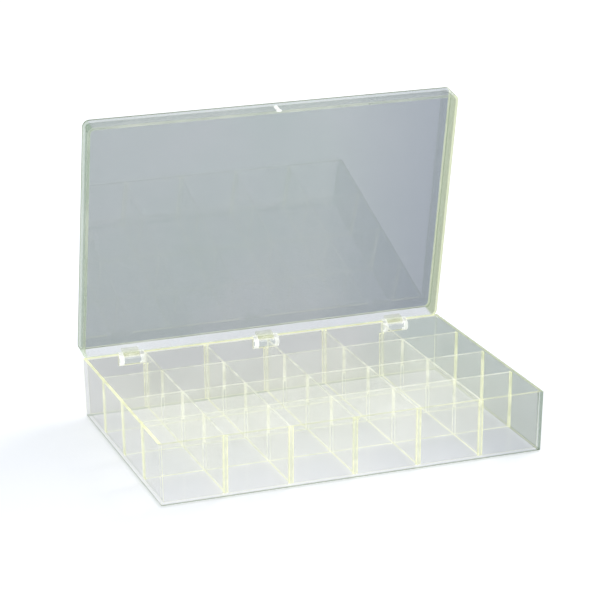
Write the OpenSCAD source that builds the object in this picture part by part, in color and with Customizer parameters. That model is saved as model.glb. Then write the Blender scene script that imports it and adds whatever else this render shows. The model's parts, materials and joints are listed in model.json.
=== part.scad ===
// Specimen box in clear styrene: a shallow tray split into 24 square compartments by slotted
// strips, and a shallow lid that swings on three pinned hinges set into the back wall.
// Millimetres. X runs left to right, Y from the front to the back, Z up.
// The origin is the centre of the tray's underside. The lid is drawn open.

/* [Tray] */
// Width over the outside of the rim
tray_w = 280; // [240:1:340]
// Depth over the outside of the rim
tray_d = 184; // [150:1:230]
// Height from the underside to the rim
tray_h = 44.5; // [36:0.5:60]
// Thickness of the four walls
wall = 2.2; // [1.8:0.1:3]
// Thickness of the floor
floor_t = 2; // [1.5:0.1:3]
// How far each wall leans in between the rim and the underside
draft = 0.9; // [0.3:0.1:1.5]
// Bevel round the underside
foot_bevel = 0.9; // [0.4:0.1:1.2]

/* [Dividers] */
// How much shallower the back row of compartments is than the rows before it
back_row_short = 4.4; // [0:0.2:12]
// Thickness of the divider strips
divider_t = 1.6; // [1:0.1:2.4]
// How far the strips stop below the rim
divider_drop = 0.8; // [0.4:0.1:3]
// Clearance round the end and the foot of a strip
divider_fit = 0.05; // [0.02:0.01:0.2]
// Clearance on each side of a strip in its halving slot
slot_fit = 0.08; // [0.04:0.01:0.2]
// Width of the guide ribs that hold the end of a strip
rib_w = 0.9; // [0.6:0.1:1.4]
// How far the guide ribs stand out from the wall
rib_proud = 0.9; // [0.5:0.1:1.4]

/* [Lid] */
// Height of the lid from its rim to its face
lid_h = 15; // [10:0.5:24]
// Thickness of the lid's pane
pane_t = 2; // [1.5:0.1:3]
// Thickness of the lid's skirt
skirt_t = 2; // [1.5:0.1:2.8]
// Radius of the lid's corners, seen from above
lid_corner_r = 5; // [3:0.5:8]
// Bevel round the face of the lid
face_bevel = 0.7; // [0.3:0.1:1.2]
// Gap between the two rims when the lid is shut
rim_gap = 0.6; // [0.55:0.05:0.9]
// Angle that the lid stands open, from shut
lid_open = 79; // [0:1:100]

/* [Hinges] */
// Length of one hinge along the back wall
hinge_len = 19; // [16:0.5:24]
// Gap between an outer hinge and the divider beside it
hinge_set = 0.4; // [0.3:0.1:3]
// Depth of the hinge line below the rim
hinge_drop = 1; // [0.8:0.1:1.3]
// Depth of the hinge line inside the face of the back wall
hinge_in = 0.8; // [0.5:0.1:0.9]
// Thickness of one ear of a bracket
ear_t = 3; // [2:0.1:4]
// Radius of the hooked ear, seen from the end
hook_r = 4.2; // [3.6:0.1:5]
// Width of the hook's curved band
hook_band = 1.5; // [1:0.1:2]
// Radius of the boss round the pin at the top of an ear
boss_r = 2.2; // [2:0.05:2.4]
// Gap between the hinge and the notch in the lid's skirt
lid_notch_gap = 0.35; // [0.3:0.05:0.8]
// Gap between the knuckle's barrel and the web that joins the ears
web_gap = 0.5; // [0.3:0.1:0.8]
// Radius of the knuckle's barrel
barrel_r = 2.2; // [2:0.05:2.3]
// Gap between the knuckle and each ear
knuckle_gap = 0.3; // [0.3:0.05:0.6]
// Radius of the arch under the knuckle
arch_r = 10; // [8:0.5:14]
// Thickness of the barrel between the pin's bore and the arch
arch_wall = 0.6; // [0.4:0.05:0.8]
// Height of the knuckle's tongue on the lid's skirt
tongue_h = 4; // [3:0.5:8]
// Thickness of the knuckle's tongue
tongue_t = 1.5; // [1:0.1:2]
// Radius of the hinge pin
pin_r = 1; // [0.8:0.05:1.2]
// How far each end of the pin stops inside its ear
pin_inset = 0.2; // [0:0.1:0.6]
// Radial clearance of the pin in the knuckle
pin_clearance = 0.05; // [0.02:0.01:0.1]
// Radial clearance of the pin in the ears
pin_hold = 0.02; // [0.01:0.01:0.05]
// Clearance round a bracket in its notch
notch_fit = 0.05; // [0.02:0.01:0.2]
// Clearance between the middle hinge and the divider cut away for it
relief_gap = 0.6; // [0.3:0.1:2]

/* [Catch] */
// Width of the catch on the front of the lid
catch_w = 2.6; // [2:0.1:6]
// How far the catch stands out from the lid's skirt
catch_proud = 1.2; // [0.8:0.1:1.6]
// How far the catch runs up the skirt from the rim
catch_rise = 7; // [4:0.5:9]
// How far the catch reaches below the lid's rim
catch_reach = 1.8; // [1.4:0.2:4]
// Width of the catch's foot
catch_foot_w = 3.8; // [3:0.2:8]
// Height of the catch's foot
catch_foot_h = 1.4; // [1:0.2:2]
// Clearance between the catch and the tray
catch_gap = 0.35; // [0.3:0.05:0.6]

/* [Hidden] */

$fn = 64;
// How far a cutter runs past what it cuts
over = 1;
columns = 6;
rows = 4;
pitch_x = tray_w / columns;
pitch_y = (tray_d + back_row_short) / rows;
lean = draft / tray_h;
divider_top = tray_h - divider_drop;
divider_h = divider_top - floor_t - divider_fit;
half_lap_z = floor_t + divider_fit + divider_h / 2;
hinge_y = tray_d / 2 - hinge_in;
hinge_z = tray_h - hinge_drop;
// Each outer hinge stands just outside the outermost long divider.
hinge_spread = (columns / 2 - 1) * pitch_x + divider_t / 2 + hinge_set + hinge_len / 2;
// The hook is a ring whose top is level with the rim.
hook_z = hinge_drop - hook_r;
bracket_bottom = hook_z - hook_r;
bracket_in = wall - hinge_in;
knuckle_len = hinge_len - 2 * ear_t - 2 * knuckle_gap;
web_h = -bracket_bottom - barrel_r - web_gap;
// How deep a guide rib is rooted in the wall and the floor
rib_root = 0.5;
rib_under_hinge = hinge_z + bracket_bottom - relief_gap;
lid_rim_z = hinge_drop + rim_gap;
clear = [0.93, 0.95, 0.9, 0.45];
clearer = [0.97, 0.98, 0.97, 0.55];

// Place of each long strip across the tray, and of each cross strip along it
function strip_x(i) = (i - columns / 2) * pitch_x;
function strip_y(j) = j * pitch_y - tray_d / 2;

// The outermost and the middle long strips end beside or under a hinge.
function beside_hinge(i) = i == 1 || i == columns / 2 || i == columns - 1;

// Half of the tray's inside width or depth at a height, for an outside size at the rim
function inner_half(size, z) = size / 2 - wall - lean * (tray_h - z);

// Cross-section of the tray's outside, seen along one wall
module outside_profile(size) {
    foot = size / 2 - draft;
    polygon([
        [-foot + foot_bevel, 0],
        [foot - foot_bevel, 0],
        [foot + lean * foot_bevel, foot_bevel],
        [size / 2, tray_h],
        [-size / 2, tray_h],
        [-foot - lean * foot_bevel, foot_bevel]
    ]);
}

// Cross-section of the tray's inside, carried past the rim
module inside_profile(size) {
    top = tray_h + over;
    polygon([
        [-inner_half(size, floor_t), floor_t],
        [inner_half(size, floor_t), floor_t],
        [inner_half(size, top), top],
        [-inner_half(size, top), top]
    ]);
}

module outside_block() {
    intersection() {
        rotate([90, 0, 0]) linear_extrude(tray_d + 2 * over, center = true) outside_profile(tray_w);
        rotate([90, 0, 90]) linear_extrude(tray_w + 2 * over, center = true) outside_profile(tray_d);
    }
}

module inside_block() {
    intersection() {
        rotate([90, 0, 0]) linear_extrude(tray_d + 2 * over, center = true) inside_profile(tray_w);
        rotate([90, 0, 90]) linear_extrude(tray_w + 2 * over, center = true) inside_profile(tray_d);
    }
}

// Notch in the back wall that takes one hinge bracket
module hinge_notch(x) {
    notch_w = hinge_len + 2 * notch_fit;
    notch_z = hinge_z + bracket_bottom - notch_fit;
    translate([x - notch_w / 2, tray_d / 2 - 2 * wall, notch_z])
        cube([notch_w, 2 * wall + over, tray_h - notch_z + over]);
}

// Shallow seat in the front wall that the catch drops over
module catch_seat() {
    seat_w = catch_foot_w + 2 * catch_gap;
    seat_h = catch_reach - rim_gap + catch_gap;
    translate([-seat_w / 2, -tray_d / 2 - over, tray_h - seat_h])
        cube([seat_w, over + catch_gap, seat_h + over]);
}

module tray() {
    color(clear) {
        difference() {
            outside_block();
            inside_block();
            for (side = [-1, 0, 1]) hinge_notch(side * hinge_spread);
            catch_seat();
        }
        for (i = [1 : columns - 1]) {
            translate([strip_x(i), 0, 0]) rotate(180) guide_ribs(tray_d, divider_top);
            translate([strip_x(i), 0, 0]) guide_ribs(tray_d, beside_hinge(i) ? rib_under_hinge : divider_top);
        }
        for (j = [1 : rows - 1], turn = [-90, 90])
            translate([0, strip_y(j), 0]) rotate(turn) guide_ribs(tray_w, divider_top);
    }
}

// The two ribs on the wall at +Y that hold the end of one strip
module guide_ribs(size, top) {
    for (side = [-1, 1])
        translate([side * (divider_t / 2 + slot_fit + rib_w / 2), 0, 0])
            along_x(rib_w) rib_outline(size, top);
}

// A guide rib seen from its side, rooted in the wall and the floor
module rib_outline(size, top) {
    foot = floor_t - rib_root;
    polygon([
        [inner_half(size, foot) + rib_root, foot],
        [inner_half(size, foot) - rib_proud, foot],
        [inner_half(size, top) - rib_proud, top],
        [inner_half(size, top) + rib_root, top]
    ]);
}

// A strip across the inside of the tray, standing on the floor, as an outline
module strip_outline(size) {
    foot = floor_t + divider_fit;
    polygon([
        [-inner_half(size, foot) + divider_fit, foot],
        [inner_half(size, foot) - divider_fit, foot],
        [inner_half(size, divider_top) - divider_fit, divider_top],
        [-inner_half(size, divider_top) + divider_fit, divider_top]
    ]);
}

// Front-to-back strip with halving slots open at the top
module long_divider(i) {
    slot_w = divider_t + 2 * slot_fit;
    color(clear)
    translate([strip_x(i), 0, 0])
    rotate([90, 0, 90])
    linear_extrude(divider_t, center = true)
    difference() {
        strip_outline(tray_d);
        for (j = [1 : rows - 1])
            translate([strip_y(j) - slot_w / 2, half_lap_z])
                square([slot_w, divider_h]);
        if (i == columns / 2) hinge_relief();
    }
}

// Corner cut from the middle strip to clear the middle hinge
module hinge_relief() {
    reach = inner_half(tray_d, tray_h) - hook_r - relief_gap;
    translate([reach, hinge_z + bracket_bottom - relief_gap])
        square([tray_d / 2, tray_h]);
}

// Side-to-side strip with halving slots open at the foot
module cross_divider(j) {
    slot_w = divider_t + 2 * slot_fit;
    color(clear)
    translate([0, strip_y(j), 0])
    rotate([90, 0, 0])
    linear_extrude(divider_t, center = true)
    difference() {
        strip_outline(tray_w);
        for (i = [1 : columns - 1])
            translate([strip_x(i) - slot_w / 2, half_lap_z - divider_h + slot_fit])
                square([slot_w, divider_h]);
    }
}

// Puts a piece drawn about the hinge line in its place, x along the back wall
module on_hinge_line(x) {
    translate([x, hinge_y, hinge_z]) children();
}

// Runs a YZ outline along X, centred
module along_x(length) {
    rotate([90, 0, 90]) linear_extrude(length, center = true) children();
}

// The hooked ear: a boss round the pin, a band that curves down inside the wall, and its root
module ear_outline() {
    difference() {
        union() {
            intersection() {
                translate([-bracket_in, hook_z]) difference() {
                    circle(r = hook_r);
                    circle(r = hook_r - hook_band);
                }
                translate([-bracket_in - hook_r, bracket_bottom])
                    square([hook_r, 2 * hook_r]);
            }
            circle(r = boss_r);
            translate([-bracket_in, bracket_bottom]) square([wall, -bracket_bottom]);
        }
        circle(r = pin_r + pin_hold);
    }
}

module hinge_bracket(x) {
    color(clearer)
    on_hinge_line(x) {
        for (side = [-1, 1])
            translate([side * (hinge_len - ear_t) / 2, 0, 0]) along_x(ear_t) ear_outline();
        translate([-hinge_len / 2 + ear_t / 2, -bracket_in, bracket_bottom])
            cube([hinge_len - ear_t, wall, web_h]);
    }
}

module hinge_pin(x) {
    color(clearer)
    on_hinge_line(x)
        rotate([0, 90, 0]) cylinder(r = pin_r, h = hinge_len - 2 * pin_inset, center = true);
}

// Turns the closed lid's parts about the hinge line to where the lid stands
module on_lid() {
    translate([0, hinge_y, hinge_z]) rotate([-lid_open, 0, 0]) children();
}

// Barrel on the pin, arched underneath, with a tongue up the inside of the lid's skirt
module lid_knuckle(x) {
    arch_top = pin_r + pin_clearance + arch_wall;
    tongue_y = hinge_in - skirt_t;
    color(clearer)
    on_lid() translate([x, 0, 0])
    difference() {
        union() {
            along_x(knuckle_len) circle(r = barrel_r);
            translate([-knuckle_len / 2, tongue_y - tongue_t, 0])
                cube([knuckle_len, tongue_t, lid_rim_z + tongue_h]);
        }
        along_x(knuckle_len + 2 * over) circle(r = pin_r + pin_clearance);
        translate([0, 0, -arch_r - arch_top])
            rotate([90, 0, 0]) cylinder(r = arch_r, h = 4 * barrel_r, center = true);
    }
}

module rounded_rectangle(w, d, r) {
    square([w - 2 * r, d], center = true);
    square([w, d - 2 * r], center = true);
    for (sx = [-1, 1], sy = [-1, 1])
        translate([sx * (w / 2 - r), sy * (d / 2 - r)]) circle(r = r);
}

// Slab with round corners whose upper edge is bevelled
module bevelled_slab(w, d, r, h, bevel) {
    linear_extrude(h - bevel) rounded_rectangle(w, d, r);
    translate([0, 0, h - bevel]) {
        rotate([90, 0, 0]) linear_extrude(d - 2 * r, center = true) bevel_section(w, bevel);
        rotate([90, 0, 90]) linear_extrude(w - 2 * r, center = true) bevel_section(d, bevel);
        for (sx = [-1, 1], sy = [-1, 1])
            translate([sx * (w / 2 - r), sy * (d / 2 - r), 0])
                cylinder(r1 = r, r2 = r - bevel, h = bevel);
    }
}

module bevel_section(size, bevel) {
    polygon([
        [-size / 2, 0],
        [size / 2, 0],
        [size / 2 - bevel, bevel],
        [-size / 2 + bevel, bevel]
    ]);
}

module lid() {
    color(clear)
    on_lid() translate([0, hinge_in - tray_d / 2, lid_rim_z])
    difference() {
        bevelled_slab(tray_w, tray_d, lid_corner_r, lid_h, face_bevel);
        translate([0, 0, -over]) linear_extrude(lid_h - pane_t + over)
            rounded_rectangle(tray_w - 2 * skirt_t, tray_d - 2 * skirt_t, lid_corner_r - skirt_t);
        for (side = [-1, 0, 1]) lid_notch(side * hinge_spread);
    }
}

// Notch in the rim of the lid's rear skirt that clears one hinge
module lid_notch(x) {
    notch_w = hinge_len + 2 * lid_notch_gap;
    notch_h = boss_r + lid_notch_gap - lid_rim_z;
    translate([x - notch_w / 2, tray_d / 2 - skirt_t - over, -over])
        cube([notch_w, skirt_t + 2 * over, notch_h + over]);
}

// Rib on the front of the skirt, whose wider foot drops over the tray's front wall
module lid_catch() {
    front_y = hinge_in - tray_d;
    color(clearer)
    on_lid() translate([0, front_y - catch_proud, lid_rim_z - catch_reach]) {
        translate([-catch_w / 2, 0, 0]) cube([catch_w, catch_proud, catch_reach + catch_rise]);
        translate([-catch_foot_w / 2, 0, 0]) cube([catch_foot_w, catch_proud, catch_foot_h]);
    }
}

tray();
long_divider(1);  // long_divider_1
long_divider(2);  // long_divider_2
long_divider(3);  // long_divider_3
long_divider(4);  // long_divider_4
long_divider(5);  // long_divider_5
cross_divider(1);  // cross_divider_1
cross_divider(2);  // cross_divider_2
cross_divider(3);  // cross_divider_3
hinge_bracket(-hinge_spread);  // hinge_bracket_left
hinge_bracket(0);  // hinge_bracket_middle
hinge_bracket(hinge_spread);  // hinge_bracket_right
hinge_pin(-hinge_spread);  // hinge_pin_left
hinge_pin(0);  // hinge_pin_middle
hinge_pin(hinge_spread);  // hinge_pin_right
lid_knuckle(-hinge_spread);  // lid_knuckle_left
lid_knuckle(0);  // lid_knuckle_middle
lid_knuckle(hinge_spread);  // lid_knuckle_right
lid();
lid_catch();
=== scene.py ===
import json
import math

import bmesh
import bpy
from mathutils import Matrix, Vector


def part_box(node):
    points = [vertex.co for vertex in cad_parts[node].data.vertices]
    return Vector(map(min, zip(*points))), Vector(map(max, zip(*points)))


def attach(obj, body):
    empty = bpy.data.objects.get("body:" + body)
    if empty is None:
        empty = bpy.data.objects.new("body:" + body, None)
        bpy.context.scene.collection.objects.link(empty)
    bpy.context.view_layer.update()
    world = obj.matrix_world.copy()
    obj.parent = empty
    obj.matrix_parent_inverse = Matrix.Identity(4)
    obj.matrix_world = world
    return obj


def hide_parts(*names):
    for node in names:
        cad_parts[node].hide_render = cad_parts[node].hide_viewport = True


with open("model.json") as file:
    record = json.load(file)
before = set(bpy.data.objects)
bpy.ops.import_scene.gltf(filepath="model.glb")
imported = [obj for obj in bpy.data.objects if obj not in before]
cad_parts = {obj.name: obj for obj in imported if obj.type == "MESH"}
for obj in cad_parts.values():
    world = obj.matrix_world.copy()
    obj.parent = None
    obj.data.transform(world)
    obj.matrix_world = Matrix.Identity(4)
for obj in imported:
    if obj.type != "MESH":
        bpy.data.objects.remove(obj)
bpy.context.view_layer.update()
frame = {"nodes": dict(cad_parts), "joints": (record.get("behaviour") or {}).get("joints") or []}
mm = 0.001
scene = bpy.context.scene
print("frame loaded, nodes:", len(frame["nodes"]))

# Where the photographer stood
cameraPlace = {
    "position": (-0.55956, -1.47979, 0.61486),
    "azimuth": 20.304,          # degrees to the right of +Y
    "elevation": 18.116,        # degrees looked down
    "roll": -0.377,
    "sensor": 36.0,             # millimetres
    "lens": 144.34,
    "shift": (0.0049, 0.0152),
    "clip": (0.05, 40.0),
}


def makeCamera(place):
    data = bpy.data.cameras.new("photoCamera")
    data.sensor_width = place["sensor"]
    data.lens = place["lens"]
    data.shift_x, data.shift_y = place["shift"]
    data.clip_start, data.clip_end = place["clip"]
    camera = bpy.data.objects.new("photoCamera", data)
    turn = Matrix.Rotation(-math.radians(place["azimuth"]), 4, "Z")
    tip = Matrix.Rotation(math.radians(90 - place["elevation"]), 4, "X")
    roll = Matrix.Rotation(math.radians(place["roll"]), 4, "Z")
    camera.matrix_world = Matrix.Translation(place["position"]) @ turn @ tip @ roll
    scene.collection.objects.link(camera)
    scene.camera = camera


makeCamera(cameraPlace)
print("camera placed")


# Nodes are added through this, so that a material or a shape reads from top to bottom
class NodeSheet:
    def __init__(self, tree):
        self.tree = tree
        tree.nodes.clear()

    def add(self, kind, sets=None, **inputs):
        node = self.tree.nodes.new(kind)
        for key, value in (sets or {}).items():
            setattr(node, key, value)
        for key, value in inputs.items():
            self.feed(node, key.replace("_", " "), value)
        return node

    def feed(self, node, key, value):
        socket = node.inputs[key]
        if isinstance(value, bpy.types.NodeSocket):
            self.tree.links.new(value, socket)
        else:
            socket.default_value = value

    def feedAll(self, node, values):
        for key, value in values.items():
            self.feed(node, key, value)
        return node

    def maths(self, operation, *values):
        node = self.add("ShaderNodeMath", {"operation": operation})
        return self.feedAll(node, dict(enumerate(values))).outputs[0]

    def vectorMaths(self, operation, a, b):
        node = self.add("ShaderNodeVectorMath", {"operation": operation})
        outputs = self.feedAll(node, {0: a, 1: b}).outputs
        return outputs["Value"] if operation == "DOT_PRODUCT" else outputs[0]

    def combine(self, x, y, z):
        return self.add("ShaderNodeCombineXYZ", X=x, Y=y, Z=z).outputs[0]

    # Rises from one value to the other while the input crosses the band
    def ramp(self, value, band, start=0.0, end=1.0):
        node = self.add("ShaderNodeMapRange", Value=value, To_Min=start, To_Max=end)
        return self.feedAll(node, {"From Min": band[0], "From Max": band[1]}).outputs[0]

    def blend(self, share, a, b):
        node = self.add("ShaderNodeMix", {"data_type": "RGBA"})
        return self.feedAll(node, {0: share, 6: rgba(a), 7: rgba(b)}).outputs[2]

    def mixShader(self, share, a, b):
        return self.feedAll(self.add("ShaderNodeMixShader"), {0: share, 1: a, 2: b}).outputs[0]

    def addShader(self, a, b):
        return self.feedAll(self.add("ShaderNodeAddShader"), {0: a, 1: b}).outputs[0]


def rgba(colour):
    return (*colour, 1.0) if isinstance(colour, tuple) else colour


def newMaterial(name):
    material = bpy.data.materials.new(name)
    material.use_nodes = True
    return material, NodeSheet(material.node_tree)


# The lid is judged in its own upright axes, so its tilt is read from its hinge joint
hingeJoint = frame["joints"][0]
lidOpen = math.radians(-hingeJoint["range_deg"][0])
lidUp = Vector((0, math.sin(lidOpen), math.cos(lidOpen)))
lidBack = Vector((0, math.cos(lidOpen), -math.sin(lidOpen)))
hingePoint = Vector(hingeJoint["pos_m"])

# What all the clear styrene shares, and where its painted shade and painted highlights change along the box
styrene = {
    "cloudBand": (0.3, 0.7),
    "cloudDetail": 3.0,
    "flowDetail": 4.0,
    "rippleDepth": 0.4 * mm,
    "leastHaze": 0.7,                       # haze between the clouds, as they add 0 to 1 to it
    "passedShare": 0.45,                    # share of the haze that light passes through
    "grazingPower": 5.0,
    "footBand": (1.8 * mm, 1.2 * mm),       # heights over the bevel under the tray
    "frontBand": (-90.2 * mm, -89.5 * mm),
    "backRimBand": (43.3 * mm, 43.6 * mm),
    "backFrom": 85 * mm,
    "crestBand": (14.1 * mm, 14.3 * mm),    # heights over the hinge line, lid shut
}

# A broad face without anything special, each face of a wall counted once
plainLook = {
    "tint": (0.968, 0.97, 0.966),
    "tintCloud": (0.98, 0.98, 0.976),
    "haze": (0.97, 0.98, 0.93),
    "hazeCloud": (1.0, 1.0, 0.97),
    "hazeShare": 0.045,
    "cloudScale": 22.0,
    "flowStretch": (1.0, 1.0, 6.0),
    "flowScale": 60.0,
    "ripple": 0.15,
    "mirror": 0.02,
    "grazingMirror": 0.6,
    "roughness": 0.02,
    "wear": 0.06,
    "glow": (1.0, 1.0, 0.86),
    "paintedGlowStrength": 0.22,       # painted glow, standing in for light piped along inside the sheet
    "side": None,               # painted shade, and on the lid's lip a painted highlight: a tint, and a haze, reached across a band along X
    "footPaintedShadeTint": None,           # painted shade: a darker tint along the tray's foot, where the haze ends
    "crestPaintedShadeTint": None,          # painted shade: a dark tint past the lid's outer corner
    "frontHaze": None,          # share of the rim's painted highlight haze left along the front rim
    "backRimPaintedHighlight": None,        # painted highlight: haze added along the top of the back wall
}


def tintOf(sheet, look, cloud, place, spot):
    tint = sheet.blend(cloud, look["tint"], look["tintCloud"])
    # Painted shade: the tint darkens across a band along X
    if look["side"]:
        tint = sheet.blend(sheet.ramp(spot[0], look["side"]["band"]), tint, look["side"]["tint"])
    # Painted shade past the lid's crest
    if look["crestPaintedShadeTint"]:
        fromHinge = sheet.vectorMaths("SUBTRACT", place, hingePoint)
        crest = sheet.ramp(sheet.vectorMaths("DOT_PRODUCT", fromHinge, lidUp), styrene["crestBand"])
        tint = sheet.blend(crest, tint, look["crestPaintedShadeTint"])
    # Painted shade along the tray's foot
    if look["footPaintedShadeTint"]:
        foot = sheet.blend(sheet.ramp(spot[2], styrene["footBand"]), (1.0, 1.0, 1.0), look["footPaintedShadeTint"])
        tint = sheet.vectorMaths("MULTIPLY", tint, foot)
    return tint


def hazeOf(sheet, look, cloud, spot):
    share = sheet.maths("MULTIPLY", sheet.maths("ADD", cloud, styrene["leastHaze"]), look["hazeShare"])
    # The haze changes across the same band: painted shade, and on the lip a painted highlight
    if look["side"] and "haze" in look["side"]:
        fade = sheet.ramp(spot[0], look["side"]["band"], 1.0, look["side"]["haze"])
        share = sheet.maths("MULTIPLY", share, fade)
    if look["frontHaze"]:
        front = sheet.ramp(spot[1], styrene["frontBand"], look["frontHaze"])
        share = sheet.maths("MULTIPLY", share, front)
    # Painted highlight along the top of the back wall
    if look["backRimPaintedHighlight"]:
        top = sheet.ramp(spot[2], styrene["backRimBand"], 0.0, look["backRimPaintedHighlight"])
        atBack = sheet.maths("GREATER_THAN", spot[1], styrene["backFrom"])
        share = sheet.maths("ADD", share, sheet.maths("MULTIPLY", top, atBack))
    if look["footPaintedShadeTint"]:
        aboveFoot = sheet.ramp(spot[2], styrene["footBand"], 1.0, 0.0)
        share = sheet.maths("MULTIPLY", share, aboveFoot)
    return share


# Moulded clear styrene: light passes through with a tint, a little is scattered as haze,
# and the surface mirrors its surroundings more the flatter it is looked at
def clearStyrene(name, look):
    material, sheet = newMaterial(name)
    place = sheet.add("ShaderNodeTexCoord").outputs["Object"]
    spot = sheet.add("ShaderNodeSeparateXYZ", Vector=place).outputs
    clouds = sheet.add(
        "ShaderNodeTexNoise", Vector=place, Scale=look["cloudScale"], Detail=styrene["cloudDetail"],
    )
    cloud = sheet.ramp(clouds.outputs[0], styrene["cloudBand"])
    drawn = sheet.add("ShaderNodeMapping", Vector=place, Scale=look["flowStretch"]).outputs[0]
    flow = sheet.add(
        "ShaderNodeTexNoise", Vector=drawn, Scale=look["flowScale"], Detail=styrene["flowDetail"],
    ).outputs[0]
    ripple = sheet.add(
        "ShaderNodeBump", Height=flow, Strength=look["ripple"], Distance=styrene["rippleDepth"],
    ).outputs[0]

    through = sheet.add("ShaderNodeBsdfTransparent", Color=tintOf(sheet, look, cloud, place, spot))
    hazeColour = sheet.blend(cloud, look["haze"], look["hazeCloud"])
    scattered = sheet.add("ShaderNodeBsdfDiffuse", Color=hazeColour, Normal=ripple)
    passed = sheet.add("ShaderNodeBsdfTranslucent", Color=hazeColour, Normal=ripple)
    hazy = sheet.mixShader(styrene["passedShare"], scattered.outputs[0], passed.outputs[0])
    hazeShare = hazeOf(sheet, look, cloud, spot)
    body = sheet.mixShader(hazeShare, through.outputs[0], hazy)

    facing = sheet.add("ShaderNodeLayerWeight", Blend=0.5).outputs["Facing"]
    grazing = sheet.maths("POWER", facing, styrene["grazingPower"])
    mirrorShare = sheet.maths("ADD", sheet.maths("MULTIPLY", grazing, look["grazingMirror"]), look["mirror"])
    worn = sheet.maths("ADD", sheet.maths("MULTIPLY", flow, look["wear"]), look["roughness"])
    shine = sheet.add("ShaderNodeBsdfGlossy", Roughness=worn, Normal=ripple)
    surface = sheet.mixShader(mirrorShare, body, shine.outputs[0])
    # Painted glow: emission where the haze is, standing in for light piped along the sheet
    if look["paintedGlowStrength"]:
        paintedGlowSeen = sheet.maths("MULTIPLY", hazeShare, look["paintedGlowStrength"])
        glow = sheet.add("ShaderNodeEmission", Color=rgba(look["glow"]), Strength=paintedGlowSeen)
        surface = sheet.addShader(surface, glow.outputs[0])
    sheet.add("ShaderNodeOutputMaterial", Surface=surface)
    return material


# How a piece is taken from the model, merged and softened along its edges
finish = {
    "weld": 0.002 * mm,
    "flat": math.radians(1.0),
    "edgeSegments": 2,
    "edgeAngle": math.radians(30.0),
}


# The last of the coats goes on the softened edges
def dressPiece(nodeName, body, coats, choose, edge, smooth=False, shape=None):
    source = shape or frame["nodes"][nodeName].data
    mesh = bpy.data.meshes.new(nodeName + "Dressed")
    piece = bpy.data.objects.new(nodeName + "Dressed", mesh)
    scene.collection.objects.link(piece)
    work = bmesh.new()
    work.from_mesh(source)
    bmesh.ops.remove_doubles(work, verts=work.verts, dist=finish["weld"])
    bmesh.ops.dissolve_limit(work, angle_limit=finish["flat"], verts=work.verts, edges=work.edges)
    work.normal_update()
    order = list(coats)
    for face in work.faces:
        coat = choose(face.normal, face.calc_center_median(), face.calc_area())
        face.material_index = order.index(coat)
        face.smooth = smooth
    work.to_mesh(mesh)
    work.free()
    for name in order:
        mesh.materials.append(coats[name])
    if smooth:
        mesh.set_sharp_from_angle(angle=finish["edgeAngle"])
    if edge:
        soften = piece.modifiers.new("softEdge", "BEVEL")
        soften.width = edge
        soften.segments = finish["edgeSegments"]
        soften.limit_method = "ANGLE"
        soften.angle_limit = finish["edgeAngle"]
        soften.material = len(order) - 1
        soften.use_clamp_overlap = True
    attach(piece, body)
    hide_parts(nodeName)


# The tray: clear walls, with painted shade making them greyer at the back and the right, and edges with
# painted highlights and a painted yellow glow
# Painted shade: the wall darkens at the right front corner and along the foot
wallLook = {
    **plainLook,
    "side": {"tint": (0.5, 0.57, 0.5), "band": (136.4 * mm, 137.6 * mm)},
    "footPaintedShadeTint": (0.6, 0.63, 0.58),
}
# Painted shade: a darker copy of the wall for the back and the right, darker still towards the right, with a
# painted highlight along the top of the back wall
shadedWallLook = {
    **plainLook,
    "tint": (0.715, 0.719, 0.711),
    "tintCloud": (0.752, 0.757, 0.748),
    "side": {"tint": (0.663, 0.694, 0.677), "band": (70 * mm, 115 * mm)},
    "backRimPaintedHighlight": 0.7,
}
# Painted shade: the sloped faces along the tray's foot are dark
footPaintedShadeLook = {**plainLook, "tint": (0.42, 0.48, 0.42), "tintCloud": (0.5, 0.55, 0.48), "hazeShare": 0.06}
# Painted shade: the tray's floor darkens towards the right
floorLook = {
    **plainLook,
    "tint": (0.956, 0.958, 0.968),
    "tintCloud": (0.966, 0.966, 0.976),
    "haze": (0.96, 0.97, 0.99),
    "hazeShare": 0.03,
    "cloudScale": 14.0,
    "side": {"tint": (0.88, 0.889, 0.912), "band": (-20 * mm, 110 * mm)},
}
# Painted highlight and painted glow on the rims and small level faces, with painted shade along the foot and
# at the right end, and less of the highlight along the front
rimLook = {
    **plainLook,
    "tint": (0.97, 0.98, 0.88),
    "tintCloud": (0.98, 0.99, 0.92),
    "haze": (1.0, 1.0, 0.68),
    "hazeCloud": (1.0, 1.0, 0.8),
    "hazeShare": 0.8,
    "cloudScale": 60.0,
    "flowScale": 200.0,
    "glow": (1.0, 1.0, 0.5),
    "paintedGlowStrength": 0.3,
    "footPaintedShadeTint": (0.45, 0.5, 0.4),
    "frontHaze": 0.3,
    "side": {"tint": (0.6, 0.66, 0.5), "band": (137.2 * mm, 137.6 * mm), "haze": 0.25},
}
# Painted highlight and painted glow on the ribs and notches
ribLook = {
    **rimLook,
    "haze": (0.97, 1.0, 0.86),
    "hazeCloud": (1.0, 1.0, 0.92),
    "hazeShare": 0.32,
    "paintedGlowStrength": 0.12,
    "frontHaze": None,
    "side": None,
}
tray = {
    "edge": 0.35 * mm,
    "floorBelow": 3.0 * mm,
    "level": 0.95,              # how straight up or down a level face looks, 1 at most
    "square": 0.9,              # how straight along X or Y a wall looks
    "broad": 300 * mm ** 2,     # smaller faces belong to ribs, notches and the rim
    "shadedFrom": 60 * mm,
}
trayCoats = {
    "wall": clearStyrene("trayWall", wallLook),
    "floor": clearStyrene("trayFloor", floorLook),
    "shadedWall": clearStyrene("trayWallShaded", shadedWallLook),
    "foot": clearStyrene("trayFootPaintedShade", footPaintedShadeLook),
    "rib": clearStyrene("trayRib", ribLook),
    "rim": clearStyrene("trayRim", rimLook),
}


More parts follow.
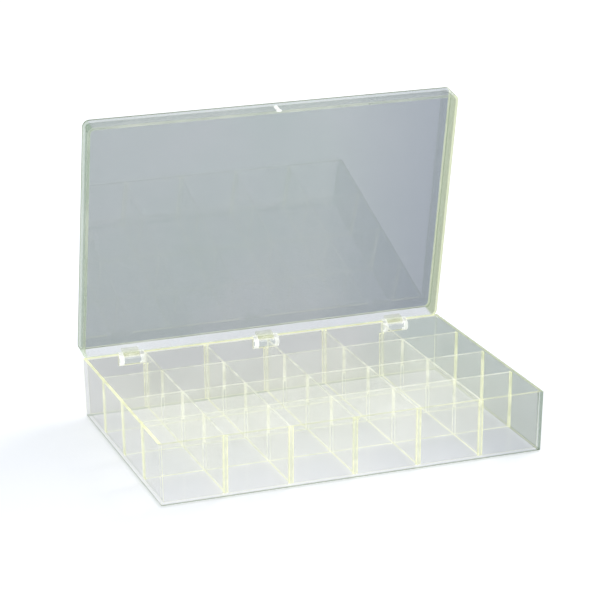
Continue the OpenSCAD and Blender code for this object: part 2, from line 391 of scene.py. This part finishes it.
def trayFace(normal, centre, area):
    isBroad = area > tray["broad"]
    if abs(normal.z) > tray["level"]:
        return "floor" if isBroad and centre.z < tray["floorBelow"] else "rim"
    if max(abs(normal.x), abs(normal.y)) < tray["square"]:
        return "foot"
    # Faces at the back and the right take the darker copy with painted shade
    if not isBroad:
        return "shadedWall" if centre.y > tray["shadedFrom"] else "rib"
    return "shadedWall" if max(centre.x, centre.y) > tray["shadedFrom"] else "wall"


dressPiece("tray", "tray", trayCoats, trayFace, tray["edge"])
print("tray dressed")

# The strips: milky, with a painted glow standing in for the light piped along them, and painted highlights
# brightest at their cut edges
stripLook = {
    **plainLook,
    "tint": (0.994, 0.995, 0.985),
    "tintCloud": (0.997, 0.998, 0.99),
    "haze": (0.97, 1.0, 0.89),
    "hazeCloud": (1.0, 0.99, 0.98),
    "hazeShare": 0.072,
    "mirror": 0.015,
    "glow": (1.0, 1.0, 0.85),
    "paintedGlowStrength": 0.33,
}
# Painted highlight and painted glow on the strips' tops, feet and ends
stripTopLook = {
    **rimLook,
    "haze": (1.0, 1.0, 0.94),
    "hazeCloud": (1.0, 1.0, 0.97),
    "hazeShare": 0.34,
    "glow": (1.0, 1.0, 0.8),
    "paintedGlowStrength": 0.36,
    "frontHaze": None,
    "footPaintedShadeTint": None,
    "side": None,
}
stripFootLook = {
    **stripTopLook,
    "haze": (0.98, 1.0, 0.66),
    "hazeCloud": (1.0, 1.0, 0.78),
    "hazeShare": 0.8,
    "paintedGlowStrength": 0.25,
}
stripEndLook = {
    **stripFootLook,
    "haze": (0.96, 1.0, 0.82),
    "hazeCloud": (1.0, 1.0, 0.9),
    "hazeShare": 0.6,
    "paintedGlowStrength": 0.16,
}
# They follow one rule: a sheet as wide as the tray between its leaning walls, slotted to
# half its height at every crossing, so one tree makes them all
strips = {
    "edge": 0.25 * mm,
    "thickness": 1.6 * mm,
    "foot": 2.05 * mm,
    "footReach": 0.1 * mm,                      # faces this near the foot belong to it
    "top": 43.7 * mm,
    "lean": 0.9 / 44.5,
    "wallAndFit": 2.25 * mm,
    "rimHeight": 44.5 * mm,
    "slotWidth": 1.76 * mm,
    "slotReach": 4.8 * mm,                      # any size past both faces of a strip
    "slotFit": 0.08 * mm,
    "traySize": {"long": 184 * mm, "cross": 280 * mm},
    "pitch": {"long": 280 / 6 * mm, "cross": 47.1 * mm},
    "count": {"long": 5, "cross": 3},
    "relieved": ("long", 3),                    # the strip with a corner cut off
    "reliefFrom": (84.8 * mm, 36.66 * mm),      # that corner, under the middle hinge
    "reliefSize": 0.1,                          # any size that reaches past the strip
    "square": 0.9,                              # how straight along an axis a face looks
    "upright": 0.3,                             # how little an end's face looks up or down
    "brightFrom": {"x": 100 * mm, "y": 85 * mm},
}
stripCoats = {
    "face": clearStyrene("stripFace", stripLook),
    "foot": clearStyrene("stripFoot", stripFootLook),
    "end": clearStyrene("stripEnd", stripEndLook),
    "top": clearStyrene("stripTop", stripTopLook),
}


def newTree(name, inputs):
    tree = bpy.data.node_groups.new(name, "GeometryNodeTree")
    tree.interface.new_socket("Geometry", in_out="OUTPUT", socket_type="NodeSocketGeometry")
    for label, kind in inputs.items():
        tree.interface.new_socket(label, in_out="INPUT", socket_type="NodeSocket" + kind)
    sheet = NodeSheet(tree)
    return tree, sheet, sheet.add("NodeGroupInput").outputs


def makeStripTree():
    tree, sheet, given = newTree("slottedStrip", {
        "Foot Half": "Float",
        "Top Half": "Float",
        "Foot Height": "Float",
        "Top Height": "Float",
        "Thickness": "Float",
        "Slot Count": "Int",
        "Slot Start": "Vector",
        "Slot Pitch": "Float",
        "Slot Size": "Vector",
        "Relief Corner": "Vector",
        "Relief Size": "Float",
        "Place": "Vector",
        "Turn": "Float",
        "Material": "Material",
    })
    # A cube of side 1 is drawn out to the leaning sheet
    cube = sheet.add("GeometryNodeMeshCube", Size=(1.0, 1.0, 1.0)).outputs[0]
    position = sheet.add("GeometryNodeInputPosition").outputs[0]
    parts = sheet.add("ShaderNodeSeparateXYZ", Vector=position).outputs
    upShare = sheet.maths("ADD", parts[2], 0.5)
    halfGain = sheet.maths("SUBTRACT", given["Top Half"], given["Foot Half"])
    half = sheet.maths("MULTIPLY_ADD", upShare, halfGain, given["Foot Half"])
    tall = sheet.maths("SUBTRACT", given["Top Height"], given["Foot Height"])
    height = sheet.maths("MULTIPLY_ADD", upShare, tall, given["Foot Height"])
    along = sheet.maths("MULTIPLY", sheet.maths("MULTIPLY", parts[0], 2.0), half)
    across = sheet.maths("MULTIPLY", parts[1], given["Thickness"])
    drawnOut = sheet.combine(along, across, height)
    body = sheet.add("GeometryNodeSetPosition", Geometry=cube, Position=drawnOut).outputs[0]

    # Slots at every crossing, and the corner that one strip loses
    cutter = sheet.add("GeometryNodeMeshCube", Size=given["Slot Size"]).outputs[0]
    places = sheet.add(
        "GeometryNodeMeshLine", Count=given["Slot Count"], Start_Location=given["Slot Start"],
        Offset=sheet.combine(given["Slot Pitch"], 0.0, 0.0),
    ).outputs[0]
    slots = sheet.add("GeometryNodeInstanceOnPoints", Points=places, Instance=cutter).outputs[0]
    slots = sheet.add("GeometryNodeRealizeInstances", Geometry=slots).outputs[0]
    size = given["Relief Size"]
    relief = sheet.add("GeometryNodeMeshCube", Size=sheet.combine(size, size, size)).outputs[0]
    toMiddle = sheet.maths("MULTIPLY", size, 0.5)
    reliefMiddle = sheet.vectorMaths("ADD", given["Relief Corner"], sheet.combine(toMiddle, 0.0, toMiddle))
    relief = sheet.add("GeometryNodeTransform", Geometry=relief, Translation=reliefMiddle).outputs[0]
    cut = sheet.add("GeometryNodeMeshBoolean", {"operation": "DIFFERENCE", "solver": "EXACT"})
    sheet.feedAll(cut, {"Mesh 1": body, "Mesh 2": slots})
    sheet.feed(cut, "Mesh 2", relief)

    turned = sheet.add(
        "GeometryNodeTransform", Geometry=cut.outputs[0], Translation=given["Place"],
        Rotation=sheet.combine(0.0, 0.0, given["Turn"]),
    )
    whole = sheet.add("GeometryNodeRealizeInstances", Geometry=turned.outputs[0])
    dressed = sheet.add("GeometryNodeSetMaterial", Geometry=whole.outputs[0], Material=given["Material"])
    sheet.feed(sheet.add("NodeGroupOutput"), 0, dressed.outputs[0])
    return tree


def runTree(tree, name, values):
    carrier = bpy.data.objects.new(name + "Carrier", bpy.data.meshes.new(name + "Carrier"))
    scene.collection.objects.link(carrier)
    modifier = carrier.modifiers.new(name, "NODES")
    modifier.node_group = tree
    for item in tree.interface.items_tree:
        if item.in_out == "INPUT":
            modifier[item.identifier] = values[item.name]
    evaluated = carrier.evaluated_get(bpy.context.evaluated_depsgraph_get())
    mesh = bpy.data.meshes.new_from_object(evaluated)
    carrier.modifiers.clear()
    bpy.data.objects.remove(carrier)
    return mesh


# The long strips are slotted from the top and the cross strips from the foot
def stripValues(kind, index):
    isLong = kind == "long"
    other = "cross" if isLong else "long"
    halfTray = strips["traySize"][kind] / 2
    halfRim = halfTray - strips["wallAndFit"]
    middle = (strips["foot"] + strips["top"]) / 2
    tall = strips["top"] - strips["foot"]
    slotPitch = strips["pitch"][other]
    firstSlot = slotPitch - halfTray if isLong else slotPitch * (1 - strips["count"][other]) / 2
    slotMiddle = middle + tall / 2 if isLong else middle - tall / 2 + strips["slotFit"]
    side = index * strips["pitch"][kind] - strips["traySize"][other] / 2
    reliefX = strips["reliefFrom"][0] if (kind, index) == strips["relieved"] else 1.0
    return {
        "Foot Half": halfRim - strips["lean"] * (strips["rimHeight"] - strips["foot"]),
        "Top Half": halfRim - strips["lean"] * (strips["rimHeight"] - strips["top"]),
        "Foot Height": strips["foot"],
        "Top Height": strips["top"],
        "Thickness": strips["thickness"],
        "Slot Count": strips["count"][other],
        "Slot Start": (firstSlot, 0.0, slotMiddle),
        "Slot Pitch": slotPitch,
        "Slot Size": (strips["slotWidth"], strips["slotReach"], tall),
        "Relief Corner": (reliefX, 0.0, strips["reliefFrom"][1]),
        "Relief Size": strips["reliefSize"],
        "Place": (side, 0.0, 0.0) if isLong else (0.0, side, 0.0),
        "Turn": math.pi / 2 if isLong else 0.0,
        "Material": stripCoats["face"],
    }


def stripFace(across):
    def choose(normal, centre, area):
        if abs(getattr(normal, across)) > strips["square"]:
            return "face"
        if normal.z < -strips["square"]:
            return "foot" if centre.z < strips["foot"] + strips["footReach"] else "top"
        # The ends at the front and the right get the painted highlight
        atFront = centre.y < -strips["brightFrom"]["y"]
        atBright = atFront or centre.x > strips["brightFrom"]["x"]
        return "end" if atBright and abs(normal.z) < strips["upright"] else "top"
    return choose


# How far the strip made here departs from the model's, in millimetres
def stripError(name, shape):
    made = [[function(v.co[i] for v in shape.vertices) for i in range(3)] for function in (min, max)]
    return max(abs(a - b) for here, there in zip(made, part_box(name)) for a, b in zip(here, there)) / mm


stripTree = makeStripTree()
for kind, across in (("long", "x"), ("cross", "y")):
    for index in range(1, strips["count"][kind] + 1):
        name = f"{kind}_divider_{index}"
        shape = runTree(stripTree, name, stripValues(kind, index))
        print(name, "off by", stripError(name, shape))
        dressPiece(
            name, "tray", stripCoats, stripFace(across), strips["edge"],
            shape=shape,
        )
print("strips dressed")

# The lid: a grey mirroring pane in a skirt that looks brighter, with painted shade in dark outlines and
# painted highlights in green and yellow lines
# Painted shade: the pane darkens towards the right
paneLook = {
    **plainLook,
    "tint": (0.6, 0.636, 0.63),
    "tintCloud": (0.634, 0.652, 0.66),
    "side": {"tint": (0.54, 0.566, 0.595), "band": (45 * mm, 135 * mm)},
    "paintedGlowStrength": None,
    "haze": (0.78, 0.83, 0.83),
    "hazeCloud": (0.83, 0.86, 0.82),
    "hazeShare": 0.03,
    "cloudScale": 9.0,
    "mirror": 0.084,
    "roughness": 0.002,
    "wear": 0.004,
    "ripple": 0.012,
}
# Painted shade: the rear skirt darkens towards the left
skirtLook = {
    **plainLook,
    "tint": (0.88, 0.89, 0.905),
    "tintCloud": (0.902, 0.907, 0.917),
    "hazeShare": 0.12,
    "side": {"tint": (0.83, 0.84, 0.857), "band": (-100 * mm, -10 * mm)},
}
# Painted shade: a dark band past the crest
topBorderLook = {
    **plainLook,
    "tint": (0.95, 0.965, 0.95),
    "tintCloud": (0.97, 0.98, 0.965),
    "hazeShare": 0.03,
    "crestPaintedShadeTint": (0.36, 0.42, 0.32),
}
# Painted shade past the crest and towards the right
sideBorderLook = {
    **plainLook,
    "tint": (0.83, 0.9, 0.79),
    "tintCloud": (0.87, 0.93, 0.83),
    "haze": (0.7, 0.78, 0.7),
    "hazeShare": 0.04,
    "crestPaintedShadeTint": (0.45, 0.52, 0.4),
    "side": {"tint": (0.65, 0.685, 0.58), "band": (0.0, 100 * mm)},
}
# Painted highlight and painted yellow glow at the lip's right end
lipLook = {
    **plainLook,
    "tint": (0.8, 0.85, 0.79),
    "tintCloud": (0.85, 0.89, 0.83),
    "haze": (0.88, 0.95, 0.86),
    "hazeShare": 0.22,
    "glow": (1.0, 1.0, 0.4),
    "side": {"tint": (0.9, 0.95, 0.6), "band": (135.5 * mm, 137.5 * mm), "haze": 2.6},
}
# Painted shade: a dark outline along the round corner
outlinePaintedShadeLook = {
    **plainLook,
    "tint": (0.22, 0.27, 0.2),
    "tintCloud": (0.3, 0.35, 0.27),
    "haze": (0.25, 0.3, 0.2),
    "hazeShare": 0.3,
    "paintedGlowStrength": None,
}
# Painted highlight: a bright yellow line with painted glow along the round corner facing right
linePaintedHighlightLook = {
    **plainLook,
    "tint": (0.8, 0.84, 0.7),
    "haze": (0.9, 0.96, 0.74),
    "hazeCloud": (0.95, 0.98, 0.82),
    "hazeShare": 0.4,
    "cloudScale": 60.0,
    "glow": (1.0, 1.0, 0.6),
    "paintedGlowStrength": 0.1,
}
lidShape = {
    "edge": 0.18 * mm,
    "level": 0.95,              # how straight up or down a face looks, lid shut
    "rounded": 0.1,             # the round corner between pane and skirt looks up this much
    "sideways": 0.3,            # how far along X the skirt's left and right faces look
    "paneFrom": 10 * mm,        # height above the hinge line, lid shut
    "rearWithin": 20 * mm,      # the rear skirt lies this near the hinge line
}
lidCoats = {
    "pane": clearStyrene("lidPane", paneLook),
    "rearSkirt": clearStyrene("lidSkirt", skirtLook),
    "topBorder": clearStyrene("lidTopBorder", topBorderLook),
    "sideBorder": clearStyrene("lidSideBorder", sideBorderLook),
    "lip": clearStyrene("lidLip", lipLook),
    "outline": clearStyrene("lidOutlinePaintedShade", outlinePaintedShadeLook),
    "line": clearStyrene("lidLinePaintedHighlight", linePaintedHighlightLook),
}


def lidFace(normal, centre, area):
    lookUp = abs(normal.dot(lidUp))
    if lookUp > lidShape["level"]:
        return "pane" if (centre - hingePoint).dot(lidUp) > lidShape["paneFrom"] else "lip"
    # The round corner is a painted highlight line where it faces right and a painted shade outline elsewhere
    if lookUp > lidShape["rounded"]:
        return "line" if normal.x > lidShape["sideways"] else "outline"
    if abs(normal.x) > lidShape["sideways"]:
        return "sideBorder"
    ahead = (hingePoint - centre).dot(lidBack)
    return "rearSkirt" if ahead < lidShape["rearWithin"] else "topBorder"


dressPiece("lid", "lid", lidCoats, lidFace, lidShape["edge"], smooth=True)
print("lid dressed")

# The hinges: hooked ears made white by painted highlight and glow, a clear web between them greyed by
# painted shade, a barrel with a painted yellow glow and bores darkened by painted shade
# Painted highlight and painted glow: the ears are white
earLook = {
    **plainLook,
    "haze": (1.0, 1.0, 0.98),
    "hazeCloud": (1.0, 1.0, 1.0),
    "tint": (0.92, 0.93, 0.91),
    "tintCloud": (0.94, 0.95, 0.93),
    "hazeShare": 0.42,
    "cloudScale": 120.0,
    "flowScale": 120.0,
    "ripple": 0.03,
    "glow": (1.0, 1.0, 0.97),
    "paintedGlowStrength": 0.4,
}
# Painted highlight on the softened edges
hingeEdgeLook = {**earLook, "hazeShare": 0.7}
# Painted shade: the web is greyer
webLook = {
    **earLook,
    "tint": (0.72, 0.74, 0.73),
    "tintCloud": (0.76, 0.78, 0.76),
    "hazeShare": 0.02,
    "paintedGlowStrength": None,
}
tongueLook = {**webLook, "tint": (0.95, 0.955, 0.96), "tintCloud": (0.96, 0.965, 0.965)}
# Painted glow and painted highlight: the barrel and the pin are yellower
barrelLook = {
    **earLook,
    "tint": (0.86, 0.87, 0.8),
    "tintCloud": (0.9, 0.91, 0.85),
    "haze": (1.0, 1.0, 0.86),
    "hazeShare": 0.16,
    "glow": (1.0, 1.0, 0.8),
    "paintedGlowStrength": 0.35,
}
pinLook = {**barrelLook, "tint": (0.93, 0.93, 0.88), "hazeShare": 0.04}
# Painted shade: the bores and the pins' ends are dark
borePaintedShadeLook = {
    **earLook,
    "tint": (0.2, 0.22, 0.18),
    "haze": (0.2, 0.22, 0.18),
    "hazeShare": 0.5,
    "paintedGlowStrength": None,
}
hinges = {
    "edge": 0.15 * mm,
    "catchEdge": 0.3 * mm,
    "earFrom": 6.4 * mm,        # from the middle of a hinge, along X
    "boreWithin": 1.3 * mm,     # from the hinge line
    "barrelWithin": 5 * mm,
    "endOn": 0.9,               # how straight along X a pin's end looks
    "sideways": 0.3,
}
hingeCoats = {
    "web": clearStyrene("hingeWeb", webLook),
    "barrel": clearStyrene("hingeBarrel", barrelLook),
    "bore": clearStyrene("hingeBorePaintedShade", borePaintedShadeLook),
    "ear": clearStyrene("hingeEarPaintedHighlight", earLook),
    "pin": clearStyrene("hingePin", pinLook),
    "tongue": clearStyrene("hingeTongue", tongueLook),
    "edge": clearStyrene("hingeEdge", hingeEdgeLook),
}


def hingeFace(kind, middle):
    def choose(normal, centre, area):
        fromLine = math.hypot(centre.y - hingePoint.y, centre.z - hingePoint.z)
        if kind == "hinge_pin_":
            return "bore" if abs(normal.x) > hinges["endOn"] else "pin"
        if kind == "lid_knuckle_":
            return "barrel" if fromLine < hinges["barrelWithin"] else "tongue"
        if abs(normal.x) < hinges["sideways"] and fromLine < hinges["boreWithin"]:
            return "bore"
        return "ear" if abs(centre.x - middle) > hinges["earFrom"] else "web"
    return choose


def catchFace(normal, centre, area):
    return "ear"


catchCoats = {"ear": hingeCoats["ear"]}
dressPiece("lid_catch", "lid", catchCoats, catchFace, hinges["catchEdge"], smooth=True)
for side in ("left", "middle", "right"):
    for kind, body in (("hinge_bracket_", "tray"), ("hinge_pin_", "tray"), ("lid_knuckle_", "lid")):
        low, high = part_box(kind + side)
        dressPiece(
            kind + side, body, hingeCoats, hingeFace(kind, (low[0] + high[0]) / 2),
            0 if kind == "hinge_pin_" else hinges["edge"], smooth=True,
        )
print("catch and hinges dressed")

# Floor, daylight and the soft lamp
studio = {
    "floorSize": 14.0,
    "floorDrop": 0.3 * mm,
    "floorColour": (0.9, 0.905, 0.93),
    "floorCloud": (0.92, 0.925, 0.94),
    "floorScale": 3.0,
    "floorDetail": 2.0,
    "floorLift": 0.38,          # seen directly, mirrored or through glass, never by the light
    "skyColour": (0.88, 0.93, 1.0),
    "skyStrength": 0.62,
    "keyColour": (1.0, 0.975, 0.94),
    "keyPower": 26.0,
    "keySize": 1.4,
    "keyPlace": (1.7, 0.9, 1.9),
    "keyAim": (0.0, 0.0, 0.05),
    "transparentBounces": 64,   # a look through the box crosses dozens of faces
    "bounces": 4,
    "diffuseBounces": 2,
    "glossyBounces": 2,
}


# 1 for rays that see the background, and 0 for the light that falls on the box
def seenShare(sheet):
    rays = sheet.add("ShaderNodeLightPath").outputs
    seen = sheet.maths("MAXIMUM", rays["Is Camera Ray"], rays["Is Glossy Ray"])
    return sheet.maths("MAXIMUM", seen, rays["Is Transmission Ray"])


def makeFloor(values):
    half = values["floorSize"] / 2
    mesh = bpy.data.meshes.new("studioFloor")
    corners = [(-half, -half), (half, -half), (half, half), (-half, half)]
    mesh.from_pydata([(x, y, -values["floorDrop"]) for x, y in corners], [], [(0, 1, 2, 3)])
    floor = bpy.data.objects.new("studioFloor", mesh)
    scene.collection.objects.link(floor)
    material, sheet = newMaterial("studioFloor")
    place = sheet.add("ShaderNodeTexCoord").outputs["Object"]
    grain = sheet.add(
        "ShaderNodeTexNoise", Vector=place, Scale=values["floorScale"], Detail=values["floorDetail"],
    )
    colour = sheet.blend(grain.outputs[0], values["floorColour"], values["floorCloud"])
    paper = sheet.add("ShaderNodeBsdfDiffuse", Color=colour)
    liftSeen = sheet.maths("MULTIPLY", seenShare(sheet), values["floorLift"])
    lift = sheet.add("ShaderNodeEmission", Strength=liftSeen)
    sheet.add("ShaderNodeOutputMaterial", Surface=sheet.addShader(paper.outputs[0], lift.outputs[0]))
    mesh.materials.append(material)


def makeSky(values):
    world = bpy.data.worlds.new("studioSky")
    world.use_nodes = True
    scene.world = world
    sheet = NodeSheet(world.node_tree)
    soft = sheet.add(
        "ShaderNodeBackground", Color=rgba(values["skyColour"]), Strength=values["skyStrength"],
    )
    white = sheet.add("ShaderNodeBackground", Color=(1.0, 1.0, 1.0, 1.0), Strength=1.0)
    sky = sheet.mixShader(seenShare(sheet), soft.outputs[0], white.outputs[0])
    sheet.add("ShaderNodeOutputWorld", Surface=sky)


def makeKey(values):
    data = bpy.data.lights.new("softKey", "AREA")
    data.shape = "DISK"
    data.size = values["keySize"]
    data.energy = values["keyPower"]
    data.color = values["keyColour"]
    key = bpy.data.objects.new("softKey", data)
    key.location = values["keyPlace"]
    key.rotation_mode = "QUATERNION"
    key.rotation_quaternion = (Vector(values["keyAim"]) - key.location).to_track_quat("-Z", "Y")
    scene.collection.objects.link(key)


makeFloor(studio)
makeSky(studio)
makeKey(studio)
scene.view_settings.view_transform = "Standard"
scene.cycles.transparent_max_bounces = studio["transparentBounces"]
scene.cycles.max_bounces = studio["bounces"]
scene.cycles.diffuse_bounces = studio["diffuseBounces"]
scene.cycles.glossy_bounces = studio["glossyBounces"]
print("studio lit")
